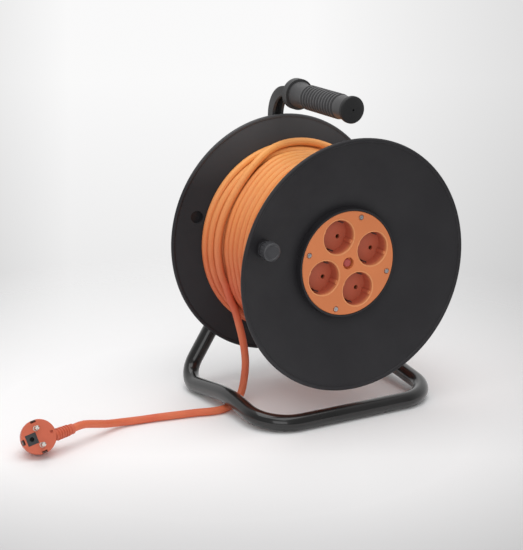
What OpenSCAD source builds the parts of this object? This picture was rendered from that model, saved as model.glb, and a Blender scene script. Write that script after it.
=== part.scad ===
// Extension cord reel: an open drum with four sockets on a bent tube stand.
// The drum turns on a steel axle behind the rear flange. Its outer turns of cord
// are wound as one tube, and the free end runs across the floor to its plug.

/* [Cord] */
// Outside diameter of the cord
cord_d = 9; // [7:0.5:9.5]
// Step from one turn to the next on the open left side
turn_step = 9.62; // [9.6:0.01:9.8]
// Step from one turn to the next over the top, where they crowd together
crowded_step = 9.46; // [9.45:0.01:9.6]
// Turns in the last full layer
layer_turns = 14; // [8:1:14]

/* [Drum] */
// Outside diameter of both flanges
flange_d = 290; // [280:1:320]
// Wall of the flanges
flange_wall = 3; // [2.5:0.25:4]
// Angle at which the flanges open outwards
flange_angle = 16; // [12:0.5:18]
// Diameter of the flat hub of each flange
flange_hub_d = 128; // [127:0.5:136]
// Distance between the flat hubs of the flanges
drum_w = 122; // [118:1:140]
// Radius of the rounded rim bead
rim_bead_r = 2.6; // [2:0.1:3]
// Outside diameter of the drum core
core_d = 120; // [119:0.5:124]
// Wall of the drum core
core_wall = 3; // [2.5:0.25:3.5]
// Height of the collar round the socket panel
collar_h = 7; // [6:0.5:10]
// Hole for the crank in both flanges
crank_hole_d = 14.4; // [13:0.1:15]
// Distance of the crank from the drum axis
crank_r = 120; // [115:1:122]
// Angle of the crank, counter-clockwise from the right
crank_angle = 163; // [0:1:359]

/* [Socket panel] */
// Diameter of the panel
panel_d = 120; // [119.5:0.5:120.5]
// Thickness of the panel
panel_t = 3; // [2.5:0.25:4]
// Distance of each socket from the drum axis
socket_r = 34.2; // [34:0.1:34.4]
// Distance of the panel screws from the drum axis
panel_screw_r = 53.8; // [53.5:0.1:54.2]
// Angle of the first socket
socket_angle = 22; // [0:1:60]
// Inside diameter of a socket recess
recess_d = 39; // [38.5:0.1:39.5]
// Depth of a socket recess
recess_depth = 17.5; // [17:0.1:18.5]
// Distance between the two pin holes
pin_pitch = 19; // [18.8:0.1:19.2]
// Diameter of a pin hole
pin_hole_d = 5.2; // [5:0.1:5.6]

/* [Reset button] */
// Diameter of the button
button_d = 9.5; // [9:0.1:10.5]
// Diameter of the well round the button
button_well_d = 14; // [13:0.1:15]
// Depth of the well round the button
button_well_depth = 6; // [5:0.25:7]
// Travel of the button
button_travel = 3; // [2:0.25:3.5]

/* [Stand] */
// Diameter of the steel tube
tube_d = 19; // [17:0.5:20]
// Height of the drum axis above the floor
axis_z = 181; // [175:1:200]
// Distance of the front bar before the middle of the drum
front_bar_y = 86.6; // [80:0.1:100]
// Distance of the uprights behind the middle of the drum
upright_y = 108; // [106:0.5:120]
// Half width of the stand at its front corners
stand_front_x = 113; // [105:0.5:125]
// Half width of the stand at its heels
stand_rear_x = 121; // [115:0.5:130]
// Radius of the front corners
front_bend_r = 44; // [36:1:50]
// Radius of the heels
heel_bend_r = 42; // [36:1:46]

/* [Handle] */
// Height of the grip axis above the drum axis
grip_z = 174.7; // [170:0.1:190]
// Distance of the front end of the grip before the middle of the drum
grip_front_y = 75.5; // [70:0.5:80]
// Distance of the collar's front face behind the middle of the drum
collar_y = 39.5; // [36:0.5:44]
// Diameter of the smooth barrel of the grip
grip_d = 27; // [25:0.5:30]
// Width of the handle arm
arm_w = 15; // [14:0.5:20]
// Depth of the handle arm
arm_t = 11; // [10:0.5:14]
// Wall of the handle arm
arm_wall = 3.5; // [3:0.25:4]

/* [Axle] */
// Diameter of the axle
axle_d = 16; // [14:0.5:18]
// Radial running clearance of the drum on its axle
running_gap = 0.05; // [0.02:0.01:0.1]

/* [Plug] */
// Diameter of the plug
plug_d = 38; // [37:0.5:39]
// Length of the plug body behind its face
plug_len = 34; // [30:0.5:38]
// Diameter of a plug pin
plug_pin_d = 4.8; // [4.7:0.1:4.9]
// Length of a plug pin
plug_pin_len = 19; // [18:0.5:20]

/* [Hidden] */
$fn = 64;

// Clearances
assembly_gap = 0.3;
fit_gap = 0.1;
slide_gap = 0.15;

through = 200;

// Drum
drum_half = drum_w / 2;
hub_r = flange_hub_d / 2;
flange_r = flange_d / 2;
core_r = core_d / 2;
bore_r = core_r - core_wall;
hub_face = drum_half + flange_wall;
rim_circle_r = flange_r - rim_bead_r;
function flange_in(r) = drum_half + (r - hub_r) * tan(flange_angle);
rim_circle_z = flange_in(rim_circle_r) + flange_wall / 2;
rim_plane = rim_circle_z + rim_bead_r;

// Socket panel
panel_r = panel_d / 2;
panel_face = hub_face + collar_h + 0.2;
panel_back = panel_face - panel_t;
collar_bore_r = panel_r + 0.4;
collar_top_r = collar_bore_r + 2.1;
SOCKETS = [for (k = [0:3]) socket_angle + 90 * k];
PANEL_SCREWS = [for (k = [0:3]) socket_angle + 50.7 + 90 * k];
POSTS = [for (k = [0:3]) socket_angle + 45 + 90 * k];
insert_wall = 1.5;
insert_r = recess_d / 2 + insert_wall;
insert_lip_r = insert_r + 1.5;
insert_floor = 3;
insert_back = panel_face - recess_depth - insert_floor;
recess_floor = panel_face - recess_depth;
screw_boss_r = 4.5;
screw_boss_back = 30;
screw_boss_top = panel_back - 0.3;
post_r = 3.8;
post_place_r = socket_r + 7.8;
post_hole_r = 1.3;

// Contact carrier, cutout and button
carrier_r = socket_r + 12.8;
carrier_front = insert_back - assembly_gap;
carrier_t = 17.4;
carrier_back = carrier_front - carrier_t;
sleeve_r = 3.2;
sleeve_bore_r = 2.4;
sleeve_len = 16;
cutout_w = 15;
cutout_back = carrier_back + 5;
well_floor = panel_face - button_well_depth;
well_wall = 1.3;
well_floor_t = 1.5;
well_back = well_floor - well_floor_t;
button_sunk = 2;
button_face = panel_face - button_sunk;
button_flange_r = button_d / 2 + 1.1;
button_flange_t = 1.4;
button_foot = well_back - assembly_gap - button_flange_t;
spring_len = 7;
cutout_top = button_foot - spring_len;
stem_r = 2.2;
spring_wire = 0.8;
spring_r = 3.6;
spring_turns = 4;

// Crank
knob_boss_r = 10;
crank_seat = flange_in(crank_r) + 6.9;
crank_floor = 2;
knob_rise = 16.5423;
knob_face = crank_seat + knob_rise;
knob_head_len = 10;
knob_head_r = 10.9;
knob_face_r = 9.75;
knob_stem_r = 7;
knob_ribs = 16;
crank_collar_r = 8.8;
crank_collar_t = 1.4;
spindle_r = 4;
bead_r = 4.4;

// Stand
tube_r = tube_d / 2;
rail_lift = cord_d + tube_r + 0.8;
rail_apex_y = 5;
rail_foot_y = 54;
apex_bend_r = 60;
foot_bend_r = 70;
apex_turn = atan((rail_lift - tube_r) / (rail_apex_y + front_bar_y))
  + atan((rail_lift - tube_r) / (rail_foot_y - rail_apex_y));
apex_z = rail_lift + apex_bend_r * (1 / cos(apex_turn / 2) - 1);
upright_top_x = 9.5;
upright_gap = 35;

// Handle
arm_y = rim_plane + 2 + arm_t / 2;
arm_bend_r = 35;
arm_foot_z = 24;
arm_top_z = grip_z + 1.8;
grip_collar_r = 18;
grip_collar_t = 9;
grip_end_r = 15.2;
spindle_grip_r = 6;
grip_ribs = 11;
grip_rib_pitch = 6.4;

// Axle and bracket
axle_r = axle_d / 2;
bush_t = 3;
hub_tube_bore_r = axle_r + running_gap + bush_t + fit_gap;
hub_tube_r = hub_tube_bore_r + 4;
hub_tube_end = -18;
nose_face = hub_face + 1.6;
bracket_front = upright_y - tube_r - 6;
bracket_back = upright_y + tube_r + 4;
sleeve_wall = 4;
boss_r = 33;
nut_t = 8;
nut_r = 12;
washer_t = 2;
washer_r = 13;

// Reach of the object before and behind the middle of the drum
front_reach = knob_face;
rear_reach = bracket_back + washer_t + nut_t + 1.5;
drum_y = (front_reach - rear_reach) / 2;

// ---------- helpers ----------

// Drum frame: local z points to the front, local x to the right, local y up
module on_axis() translate([0, drum_y, axis_z]) rotate([90, 0, 0]) children();

// Places children, built along +Z, at p and pointed at q
module along(p, q) {
  d = q - p;
  translate(p) rotate([0, acos(d.z / norm(d)), atan2(d.y, d.x)]) children();
}

module tube(r_out, r_in, z0, z1) {
  translate([0, 0, z0]) difference() {
    cylinder(r = r_out, h = z1 - z0);
    translate([0, 0, -1]) cylinder(r = r_in, h = z1 - z0 + 2);
  }
}

module disc(r, z0, z1) translate([0, 0, z0]) cylinder(r = r, h = z1 - z0);

module polar(r, a) rotate(a) translate([r, 0, 0]) children();

function unit(v) = v / norm(v);

// Route through the points, with an arc of the given radius at each inner corner
arc_step = 11.25;
function corner_arc(a, b, c, r) =
  let (u = unit(b - a), v = unit(c - b), turn = acos(u * v), n = unit(v - u * (u * v)),
       o = b - u * r * tan(turn / 2) + n * r, steps = ceil(turn / arc_step))
  [for (i = [0:steps]) o - n * r * cos(turn * i / steps) + u * r * sin(turn * i / steps)];
function rounded(points, radii) = let (last = len(points) - 1) concat(
  [points[0]],
  [for (i = [1:last - 1]) each corner_arc(points[i - 1], points[i], points[i + 1], radii[i - 1])],
  [points[last]]);

// Pan-head screw, head up at z = 0, with a cross recess
module screw(head_r, head_h, shank_r, shank_len) {
  difference() {
    union() {
      cylinder(r1 = head_r, r2 = head_r * 0.8, h = head_h);
      translate([0, 0, -shank_len]) cylinder(r = shank_r, h = shank_len + head_h / 2);
    }
    for (a = [0, 90])
      rotate(a) translate([-head_r * 0.55, -head_r * 0.12, head_h * 0.45])
        cube([head_r * 1.1, head_r * 0.24, head_h]);
  }
}

// Closed tube along points: rings of `sides` points, square to the route and untwisted
function route_dir(pts, i) = unit(pts[min(i + 1, len(pts) - 1)] - pts[max(i - 1, 0)]);
function square_to(side, t) = unit(side - t * (side * t));
function first_side(t) = square_to(abs(t.z) > 0.9 ? [1, 0, 0] : [0, 0, 1], t);
function ring_sides(pts) = let (n = len(pts))
  [for (i = 0, s = first_side(route_dir(pts, 0)); i < n;
        i = i + 1, s = i < n ? square_to(s, route_dir(pts, i)) : s) s];
function ring(p, t, side, r, sides) = let (up = cross(t, side))
  [for (k = [0:sides - 1]) p + r * (cos(360 * k / sides) * side + sin(360 * k / sides) * up)];

module swept(pts, r, sides) {
  n = len(pts);
  side = ring_sides(pts);
  body = [for (i = [0:n - 1]) each ring(pts[i], route_dir(pts, i), side[i], r, sides)];
  skin = [for (i = [0:n - 2], k = [0:sides - 1], half = [0:1])
    let (a = i * sides + k, b = i * sides + (k + 1) % sides)
    half == 0 ? [a, a + sides, b] : [b, a + sides, b + sides]];
  start = [for (k = [1:sides - 2]) [0, k, k + 1]];
  end = [for (k = [1:sides - 2]) [(n - 1) * sides, (n - 1) * sides + k + 1, (n - 1) * sides + k]];
  polyhedron(points = body, faces = concat(skin, start, end), convexity = 10);
}

// ---------- route of the cord ----------

// Each turn is set by its place on the open left side and its place over the top,
// as [z along the axis, distance from the axis]
cord_r = cord_d / 2;
layer_end = -64.1;
crowded_end = -65.2;
saddle_z = -50;
saddle_r = 92.5;
function layer_r(z) = z < saddle_z ? saddle_r + 0.32 * (saddle_z - z) : saddle_r - 0.09 * (z - saddle_z);
function layer_left(k) = let (z = layer_end + turn_step * (layer_turns - 1 - k)) [z, layer_r(z)];
function layer_top(k) = let (z = crowded_end + crowded_step * (layer_turns - 1 - k)) [z, layer_r(z)];
UPPER_LEFT = [[-68.8, 108.5], [-59.4, 105.8], [-49.6, 102.5]];
UPPER_TOP = [[-68.4, 107.4], [-58.6, 105.2], [-64, 116.6]];
function left_of(k) = k < layer_turns ? layer_left(k) : UPPER_LEFT[k - layer_turns];
function top_of(k) = k < layer_turns ? layer_top(k) : UPPER_TOP[k - layer_turns];

// Angles at which the left state and the top state hold
left_from = 170;
left_to = 215;
top_from = 70;
top_to = 110;
function ease(u) = let (v = min(1, max(0, u))) v * v * (3 - 2 * v);

// Where the upper turns cross on the far side: z along the axis and distance from it, by angle
FAR_Z = [
  [[-145, -64.1], [-100, -65.4], [-55, -66.8], [-10, -67.6], [35, -68.2], [70, -68.4]],
  [[-145, -68.8], [-100, -66], [-55, -62.3], [-10, -59.5], [35, -58.6], [70, -58.6]],
  [[-145, -59.4], [-100, -56.5], [-55, -52.2], [-10, -50.2], [35, -55], [70, -62], [90, -64]]
];
FAR_R = [
  [[-145, 97], [-100, 98.5], [-55, 102], [-10, 105], [35, 107], [70, 107.4]],
  [[-145, 108.5], [-100, 109], [-55, 111], [-10, 111], [35, 108], [70, 105.2]],
  [[-145, 105.8], [-100, 106.5], [-55, 108], [-10, 117.5], [35, 118.4], [70, 117.5], [90, 116.6]]
];

// The last turn drops beside the others only after it has crossed them
crossed_share = 0.7;
drop_share = 0.55;
function over(k, u) = let (a = top_of(k), b = left_of(k))
  k < layer_turns + 2 ? a + (b - a) * ease(u)
  : [a[0] + (b[0] - a[0]) * ease(u / crossed_share),
     a[1] + (b[1] - a[1]) * ease((u - drop_share) / (1 - drop_share))];
function far(k, a) = let (u = (a + 360 - left_to) / (top_from + 360 - left_to))
  k < layer_turns ? left_of(k - 1) + (top_of(k) - left_of(k - 1)) * ease(u)
  : [lookup(a, FAR_Z[k - layer_turns]), lookup(a, FAR_R[k - layer_turns])];
function wound(angle) =
  let (k = floor((angle + 360 - left_to) / 360), a = angle - 360 * k)
  a < top_from ? far(k, a)
  : a < top_to ? (k < layer_turns ? top_of(k) : far(k, a))
  : a < left_from ? over(k, (a - top_to) / (left_from - top_to))
  : left_of(k);
function on_drum(angle) = let (s = wound(angle)) [s[1] * cos(angle), s[1] * sin(angle), s[0]];

ring_angle = 15;
wind_start = 60;
wind_end = 315 + 360 * (layer_turns + 1);
leave_angle = 205 + 360 * (layer_turns + 2);
WOUND = [for (a = [wind_start:ring_angle:wind_end]) on_drum(a)];
winding_tip = WOUND[len(WOUND) - 1];
tip_dir = unit(winding_tip - WOUND[len(WOUND) - 2]);
LAST_TURN = concat([winding_tip, winding_tip + tip_dir * cord_d],
  [for (a = [wind_end + ring_angle:ring_angle:leave_angle]) on_drum(a)]);

// From the drum frame to the object's frame
function placed(p) = [p.x, drum_y - p.z, axis_z + p.y];

// The free cord after the drum, down to the floor and out to the plug
function floor_point(p) = [p.x, p.y + drum_y, p.z];
FLOOR_RUN = [for (p = [
  [-92.7, 49.6, 137.8], [-87, 49, 120], [-81.5, 47, 105.5], [-78, 43, 87], [-75.8, 37, 66],
  [-75.5, 33, 43], [-80.5, 29, 20.4], [-88, 24, 7.5], [-100, 14, 4.5], [-119, 3, 4.5],
  [-134, 2, 4.5], [-151, 6.5, 4.5], [-168, 10, 4.5], [-185, 13, 4.5], [-202, 16, 4.5],
  [-219, 18, 4.5], [-242, 18.5, 6], [-266, 11, 11]
]) floor_point(p)];
plug_yaw = -14;
plug_tilt = 24;
plug_at = floor_point([-356.9, -20.4, 24.7]);
plug_neck = plug_at + [3.3, 13.2, -6];
boot_exit = floor_point([-338.2, -15.6, 20.5]);
boot_end = floor_point([-313, -6.7, 20.4]);
boot_r = 6.2;
straight_run = 2 * cord_d;

// Least gap between turns that lie at least half a turn apart, measured on points
function least_gap(pts, apart) =
  min([for (i = [0:len(pts) - 1], j = [i + apart:1:len(pts) - 1]) norm(pts[i] - pts[j])]) - cord_d;
ALL_WOUND = concat(WOUND, [for (i = [2:len(LAST_TURN) - 1]) LAST_TURN[i]]);
echo(wound_turns = (wind_end - wind_start) / 360, least_gap_between_turns = least_gap(ALL_WOUND, 12));

// ---------- stand ----------

function stand_points(s) = [
  [s * stand_front_x, drum_y - front_bar_y, tube_r],
  [s * (stand_front_x + 1), drum_y + rail_apex_y, apex_z],
  [s * (stand_rear_x - 3), drum_y + rail_foot_y, tube_r],
  [s * stand_rear_x, drum_y + upright_y, tube_r],
  upright_end(s)
];
// The upright aims beside the axle and stops short of it
function upright_aim(s) = [s * upright_top_x, drum_y + upright_y, axis_z];
function upright_foot(s) = [s * stand_rear_x, drum_y + upright_y, tube_r];
function upright_end(s) = upright_aim(s) - unit(upright_aim(s) - upright_foot(s)) * upright_gap;

module stand_frame() {
  left = stand_points(-1);
  right = stand_points(1);
  color("#1c1c1e") swept(rounded(
    [left[4], left[3], left[2], left[1], left[0], right[0], right[1], right[2], right[3], right[4]],
    [heel_bend_r, foot_bend_r, apex_bend_r, front_bend_r, front_bend_r, apex_bend_r, foot_bend_r,
     heel_bend_r]),
    tube_r, 24);
}

// Moulded bracket: nose towards the drum, sockets for the uprights, seat for the arm
arm_front = arm_y - arm_t / 2;
arm_back = arm_y + arm_t / 2;
seat_w = arm_w + 2 * sleeve_wall;
seat_top_z = 66;
SEAT_SCREWS = [34, 54];
module hub_bracket() {
  color("#232325") difference() {
    union() {
      on_axis() {
        disc(boss_r, -bracket_back, -bracket_front);
        translate([0, 0, -bracket_front])
          cylinder(r1 = boss_r - 2, r2 = 21, h = bracket_front - nose_face);
      }
      for (s = [-1, 1])
        along(upright_aim(s), upright_foot(s)) cylinder(r = tube_r + sleeve_wall, h = 92);
      translate([-seat_w / 2, drum_y + arm_front - assembly_gap - sleeve_wall, axis_z])
        cube([seat_w, bracket_back - arm_front + assembly_gap + sleeve_wall, seat_top_z]);
      for (s = [-1, 1])
        translate([s * (seat_w / 2 + 8) - 2, drum_y + arm_front, axis_z]) cube([4, 20, 40]);
    }
    for (s = [-1, 1])
      along(upright_end(s) + unit(upright_aim(s) - upright_foot(s)) * fit_gap, upright_foot(s))
        cylinder(r = tube_r + fit_gap, h = through);
    on_axis() translate([0, 0, -bracket_back - 1])
      cylinder(r = axle_r + fit_gap, h = bracket_back - nose_face + 2);
    translate([-arm_w / 2 - fit_gap, drum_y + arm_front - assembly_gap, axis_z + arm_foot_z])
      cube([arm_w + 2 * fit_gap, arm_t + 2 * assembly_gap, seat_top_z]);
    for (z = SEAT_SCREWS)
      translate([0, drum_y + arm_back, axis_z + z]) rotate([-90, 0, 0])
        cylinder(r = 2.1, h = bracket_back - arm_back + 1);
    for (z = SEAT_SCREWS)
      translate([0, drum_y + bracket_back - 9, axis_z + z]) rotate([-90, 0, 0])
        cylinder(r = 5, h = 12);
    for (s = [-1, 1]) bracket_screw_at(s) translate([0, 0, -12]) cylinder(r = 1.9, h = 40);
    for (s = [-1, 1]) bracket_screw_at(s) translate([0, 0, tube_r + 2]) cylinder(r = 4.4, h = 20);
  }
}

// Screws that pin each upright in its socket, from behind
module bracket_screw_at(s) {
  p = upright_end(s) + unit(upright_foot(s) - upright_aim(s)) * 24;
  translate(p) rotate([-90, 0, 0]) children();
}

module bracket_screws() {
  color("silver") for (s = [-1, 1])
    bracket_screw_at(s) translate([0, 0, tube_r + 2]) screw(3.8, 2.4, 1.7, 2);
}

module axle() {
  color("lightgrey") on_axis() difference() {
    disc(axle_r, -rear_reach + 0.5, -10);
    tube(axle_r + 1, axle_r - 1.2, -15.2, -14);
  }
}

module axle_nut() {
  color("lightgrey") on_axis() translate([0, 0, -bracket_back - washer_t - nut_t]) difference() {
    cylinder(r = nut_r, h = nut_t, $fn = 6);
    translate([0, 0, -1]) cylinder(r = axle_r + fit_gap, h = nut_t + 2);
  }
}

module axle_washer() {
  color("lightgrey") on_axis()
    tube(washer_r, axle_r + fit_gap, -bracket_back - washer_t, -bracket_back);
}

module thrust_washer() {
  color("ivory") on_axis() tube(19, axle_r + fit_gap, -nose_face, -hub_face - 0.3);
}

module axle_end_washer() {
  color("lightgrey") on_axis() tube(14.4, axle_r + fit_gap, hub_tube_end + 0.3, -15.5);
}

module retaining_clip() {
  color("#3a3a3a") on_axis() difference() {
    tube(11.5, axle_r - 1.1, -15.2, -14);
    translate([-3, 0, -16]) cube([6, 14, 3]);
  }
}

// ---------- handle ----------

// Section of the arm: a channel that is open on its inner side
module arm_section() {
  difference() {
    square([arm_t, arm_w], center = true);
    translate([-arm_wall, 0]) square([arm_t, arm_w - 2 * arm_wall], center = true);
  }
}

arm_curve_z = arm_top_z - arm_bend_r;
arm_curve_y = arm_y - arm_bend_r;
arm_rib_t = 2.5;
arm_rib_step = 25;
module handle_arm() {
  color("#232325") translate([0, drum_y, axis_z]) {
    difference() {
      union() {
        translate([0, arm_y, arm_foot_z]) rotate([0, 0, 90])
          linear_extrude(arm_curve_z - arm_foot_z) arm_section();
        translate([0, arm_curve_y, arm_curve_z]) rotate([0, 0, 90]) rotate([90, 0, 0])
          rotate_extrude(angle = 90, $fn = 96) translate([arm_bend_r, 0]) arm_section();
        translate([0, arm_curve_y, arm_top_z]) rotate([90, 0, 0]) rotate([0, 0, 90])
          linear_extrude(arm_curve_y - collar_y - grip_collar_t) arm_section();
        for (z = [arm_foot_z:arm_rib_step:arm_curve_z - arm_rib_t])
          translate([-arm_w / 2 + 0.5, arm_front, z]) cube([arm_w - 1, arm_t - 1, arm_rib_t]);
        translate([0, collar_y + grip_collar_t, grip_z]) rotate([90, 0, 0]) {
          cylinder(r = grip_collar_r, h = grip_collar_t);
          translate([0, 0, -8]) cylinder(r1 = 11, r2 = 15, h = 8);
        }
        translate([0, arm_y, 0]) for (z = SEAT_SCREWS)
          translate([0, 0, z]) rotate([-90, 0, 0]) cylinder(r = 4.5, h = arm_t / 2);
      }
      translate([0, collar_y + grip_collar_t + 9, grip_z]) rotate([90, 0, 0])
        cylinder(r = spindle_grip_r + fit_gap, h = grip_collar_t + 10);
      for (z = SEAT_SCREWS)
        translate([0, arm_y - 1, z]) rotate([-90, 0, 0]) cylinder(r = 1.6, h = arm_t);
    }
  }
}

module arm_screws() {
  color("silver") for (z = SEAT_SCREWS)
    translate([0, drum_y + bracket_back - 9, axis_z + z]) rotate([-90, 0, 0])
      screw(4.4, 3, 1.5, bracket_back - 9 - arm_y);
}

grip_len = grip_front_y + collar_y;
module grip_spindle() {
  color("#2a2a2c") translate([0, drum_y + collar_y + grip_collar_t + 8, axis_z + grip_z])
    rotate([90, 0, 0]) difference() {
      cylinder(r = spindle_grip_r, h = grip_len + grip_collar_t + 8 - 6);
      translate([0, 0, grip_len + grip_collar_t + 8 - 26]) cylinder(r = 2, h = 30);
    }
}

// Grip: smooth ends, ribs between them, a flange at the front
module grip_sleeve() {
  barrel_r = grip_d / 2;
  rib_r = barrel_r + 0.9;
  groove_r = barrel_r - 1;
  rib_start = (grip_len - grip_ribs * grip_rib_pitch) / 2;
  rib_w = grip_rib_pitch * 0.6;
  color("#1d1d1f") translate([0, drum_y + collar_y, axis_z + grip_z]) rotate([90, 0, 0])
    rotate_extrude($fn = 96) difference() {
      polygon(concat(
        [[0, 0], [barrel_r + 1.5, 0], [barrel_r + 1.5, 4], [barrel_r, 8], [barrel_r, rib_start - 2]],
        [for (k = [0:grip_ribs - 1]) let (z = rib_start + k * grip_rib_pitch)
          each [[groove_r, z], [rib_r, z + 0.9], [rib_r, z + 0.9 + rib_w], [groove_r, z + 1.8 + rib_w]]],
        [[barrel_r, grip_len - rib_start + 2], [barrel_r, grip_len - 13], [grip_end_r, grip_len - 9],
         [grip_end_r, grip_len - 1.5], [grip_end_r - 1.5, grip_len], [0, grip_len]]));
      translate([-1, -1]) square([spindle_grip_r + slide_gap + 1, grip_len - 5]);
      translate([-1, 0]) square([3.4, grip_len + 1]);
      translate([-1, grip_len - 2.4]) square([5.4, 4]);
    }
}

module grip_screw() {
  color("silver") translate([0, drum_y - grip_front_y + 2.4, axis_z + grip_z]) rotate([90, 0, 0])
    screw(3.9, 2, 1.8, 16);
}

// ---------- drum ----------

// Half section of a flange wall from the hub edge to the rim bead
module flange_section(inner_r) {
  polygon([[inner_r, drum_half], [hub_r, drum_half], [rim_circle_r, flange_in(rim_circle_r)],
           [rim_circle_r, flange_in(rim_circle_r) + flange_wall], [hub_r, hub_face],
           [inner_r, hub_face]]);
  translate([rim_circle_r, rim_circle_z]) circle(r = rim_bead_r, $fn = 48);
}

module crank_boss() {
  polar(crank_r, crank_angle) disc(knob_boss_r, flange_in(crank_r), crank_seat);
}

module crank_hole(depth) {
  polar(crank_r, crank_angle) disc(crank_hole_d / 2, 0, depth);
}

module flange_underside() {
  rotate_extrude($fn = 128) polygon([[0, -10], [0, drum_half], [hub_r, drum_half],
    [rim_circle_r, flange_in(rim_circle_r)], [rim_circle_r, -10]]);
}

spigot_h = 5;
spigot_wall = 1.2;
module front_flange() {
  color("#323033") on_axis() {
    difference() {
      union() {
        rotate_extrude($fn = 128) {
          flange_section(bore_r);
          polygon([[bore_r, hub_face - 1], [hub_r, hub_face - 1], [hub_r, hub_face],
                   [collar_top_r, hub_face + collar_h], [collar_bore_r, hub_face + collar_h],
                   [collar_bore_r, panel_back], [bore_r, panel_back]]);
          translate([bore_r - assembly_gap - spigot_wall, drum_half - spigot_h])
            square([spigot_wall, spigot_h + 1]);
          translate([bore_r - assembly_gap - spigot_wall, drum_half])
            square([spigot_wall + 1, flange_wall]);
        }
        difference() {
          crank_boss();
          flange_underside();
        }
        for (a = PANEL_SCREWS) polar(panel_screw_r, a) disc(screw_boss_r, drum_half, screw_boss_top);
        intersection() {
          for (a = PANEL_SCREWS)
            polar(panel_screw_r, a) disc(screw_boss_r, screw_boss_back, drum_half + 1);
          disc(bore_r - assembly_gap, 0, through);
        }
      }
      for (a = PANEL_SCREWS) polar(panel_screw_r, a) disc(1.4, 0, through);
      crank_hole(through);
    }
  }
}

rib_count = 8;
module rear_flange() {
  color("#323033") on_axis() mirror([0, 0, 1]) difference() {
    union() {
      rotate_extrude($fn = 128) {
        flange_section(hub_tube_bore_r);
        translate([hub_tube_bore_r, -hub_tube_end])
          square([hub_tube_r - hub_tube_bore_r, drum_half + hub_tube_end + 1]);
        translate([bore_r - assembly_gap - spigot_wall, drum_half - spigot_h])
          square([spigot_wall, spigot_h + 1]);
      }
      difference() {
        crank_boss();
        flange_underside();
      }
      for (k = [0:rib_count - 1]) rotate(360 * k / rib_count + 10)
        translate([hub_tube_r - 0.5, -1.25, drum_half - 18]) cube([26, 2.5, 19]);
    }
    crank_hole(crank_seat - crank_floor);
    for (a = PANEL_SCREWS) polar(panel_screw_r - 1, a) disc(2.6, 0, through);
  }
}

cord_port_z = carrier_back - 6.5;
module drum_core() {
  color("#3b393c") on_axis() difference() {
    tube(core_r, bore_r, -drum_half, drum_half);
    translate([0, 0, cord_port_z]) rotate([0, -90, socket_angle])
      cylinder(r = cord_r + assembly_gap, h = core_r + 5);
  }
}

module tie_screws() {
  color("silver") on_axis() for (a = PANEL_SCREWS)
    polar(panel_screw_r - 1, a) translate([0, 0, -hub_face]) rotate([180, 0, 0])
      screw(4.2, 2.6, 2.1, hub_face + screw_boss_back - assembly_gap);
}

module hub_bush_rear() {
  color("ivory") on_axis() difference() {
    disc(hub_tube_bore_r - fit_gap, -hub_face, -hub_face + 14);
    disc(axle_r + running_gap, -100, through);
  }
}

module hub_bush_inner() {
  color("ivory") on_axis() difference() {
    disc(hub_tube_bore_r - fit_gap, hub_tube_end - 14, hub_tube_end);
    disc(axle_r + running_gap, -100, through);
  }
}

// ---------- crank ----------

module crank_pin() {
  color("dimgrey") on_axis() polar(crank_r, crank_angle) {
    disc(crank_hole_d / 2 - fit_gap, crank_seat - 6.2, crank_seat);
    disc(crank_collar_r, crank_seat, crank_seat + crank_collar_t);
    disc(spindle_r, crank_seat, knob_face - 5);
    translate([0, 0, knob_face - 9]) cylinder(r1 = spindle_r, r2 = bead_r, h = 1);
    translate([0, 0, knob_face - 8]) cylinder(r1 = bead_r, r2 = spindle_r, h = 1);
  }
}

module crank_knob() {
  knob_base = crank_seat + crank_collar_t + assembly_gap;
  head_base = knob_face - knob_head_len;
  color("#2c2c2f") on_axis() polar(crank_r, crank_angle) difference() {
    union() {
      disc(knob_stem_r, knob_base, head_base + 1);
      rotate_extrude($fn = 64) polygon([[0, head_base], [knob_head_r - 1, head_base],
        [knob_head_r, head_base + 1.2], [knob_face_r + 0.4, knob_face - 1], [knob_face_r - 0.8, knob_face],
        [knob_face_r - 1.8, knob_face], [knob_face_r - 2.6, knob_face - 0.8], [0, knob_face - 0.8]]);
    }
    for (k = [0:knob_ribs - 1]) rotate(360 * k / knob_ribs)
      translate([knob_head_r + 0.55, 0, head_base - 1]) cylinder(r = 1.3, h = knob_head_len - 1.5);
    disc(spindle_r + running_gap, 0, knob_face - 4.6);
    disc(bead_r + slide_gap, knob_face - 9.3, knob_face - 6.7);
  }
}

// ---------- sockets ----------

// Places children at a socket, its x along the line of the pins, which all lie one way
module at_socket(a) polar(socket_r, a) rotate(socket_angle - 45 - a) children();

module socket_panel() {
  color("#d9783f") on_axis() difference() {
    union() {
      rotate_extrude($fn = 128) polygon([[0, panel_back], [panel_r, panel_back],
        [panel_r, panel_face - 0.6], [panel_r - 0.6, panel_face], [0, panel_face]]);
      disc(button_well_d / 2 + well_wall, well_back, panel_face);
      for (a = POSTS) polar(post_place_r, a) disc(post_r, carrier_front, panel_back + 1);
    }
    for (a = SOCKETS) polar(socket_r, a) disc(insert_r + fit_gap, 0, through);
    for (a = PANEL_SCREWS) polar(panel_screw_r, a) disc(2, 0, through);
    for (a = PANEL_SCREWS) polar(panel_screw_r, a) disc(3.4, panel_face - 0.9, through);
    for (a = POSTS) polar(post_place_r, a) disc(post_hole_r, 0, panel_back - 2);
    disc(button_well_d / 2, well_floor, through);
    disc(button_d / 2 + slide_gap, 0, through);
  }
}

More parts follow.
